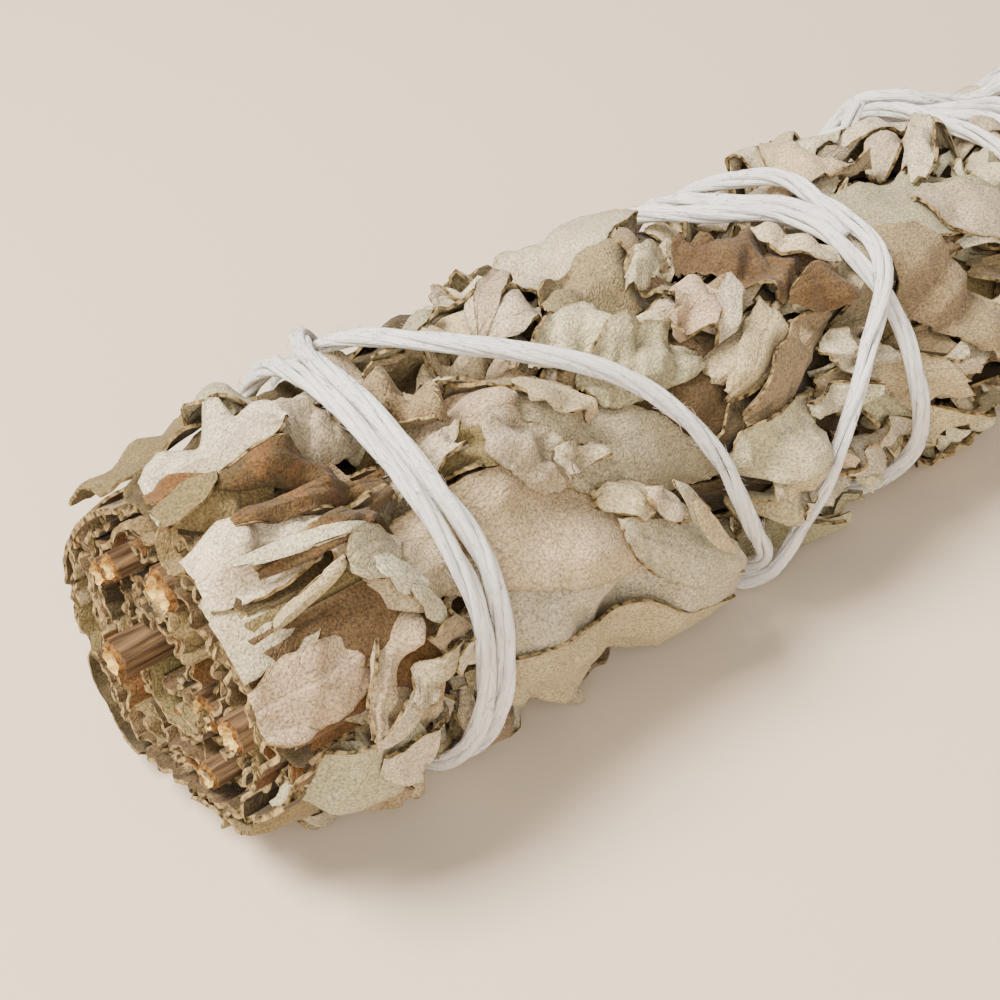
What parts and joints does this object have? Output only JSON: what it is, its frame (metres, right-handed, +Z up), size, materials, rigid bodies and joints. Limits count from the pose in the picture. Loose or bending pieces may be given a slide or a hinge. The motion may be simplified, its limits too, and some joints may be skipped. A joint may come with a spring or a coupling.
{
  "type": "white sage smudge stick",
  "caption": "Tied bundle of dried white sage leaves laid round woody stems, lying on its side and bound criss-cross with white cotton string.",
  "frame": {"origin": "bottom centre of the stick's box, on the surface that it lies on", "axes": "+X along the stick from the cut stem end to the leaf tips, +Z up"},
  "size_m": [0.1394, 0.0354, 0.0332],
  "materials": {
    "sage_leaf": "matt, felted, pale grey-green to beige",
    "brown_leaf": "matt, felted, brown",
    "woody_stem": "dry, matt, with pale pith at the cut ends",
    "cotton_string": "soft, fuzzy, undyed white"
  },
  "bodies": {
    "root": {"leaf_bundle": "sage_leaf", "brown_leaves": "brown_leaf", "cotton_string": "cotton_string", "woody_stem_1": "woody_stem", "woody_stem_2": "woody_stem", "woody_stem_3": "woody_stem", "woody_stem_4": "woody_stem", "woody_stem_5": "woody_stem", "woody_stem_6": "woody_stem", "woody_stem_7": "woody_stem", "woody_stem_8": "woody_stem", "woody_stem_9": "woody_stem"}
  },
  "joints": []
}
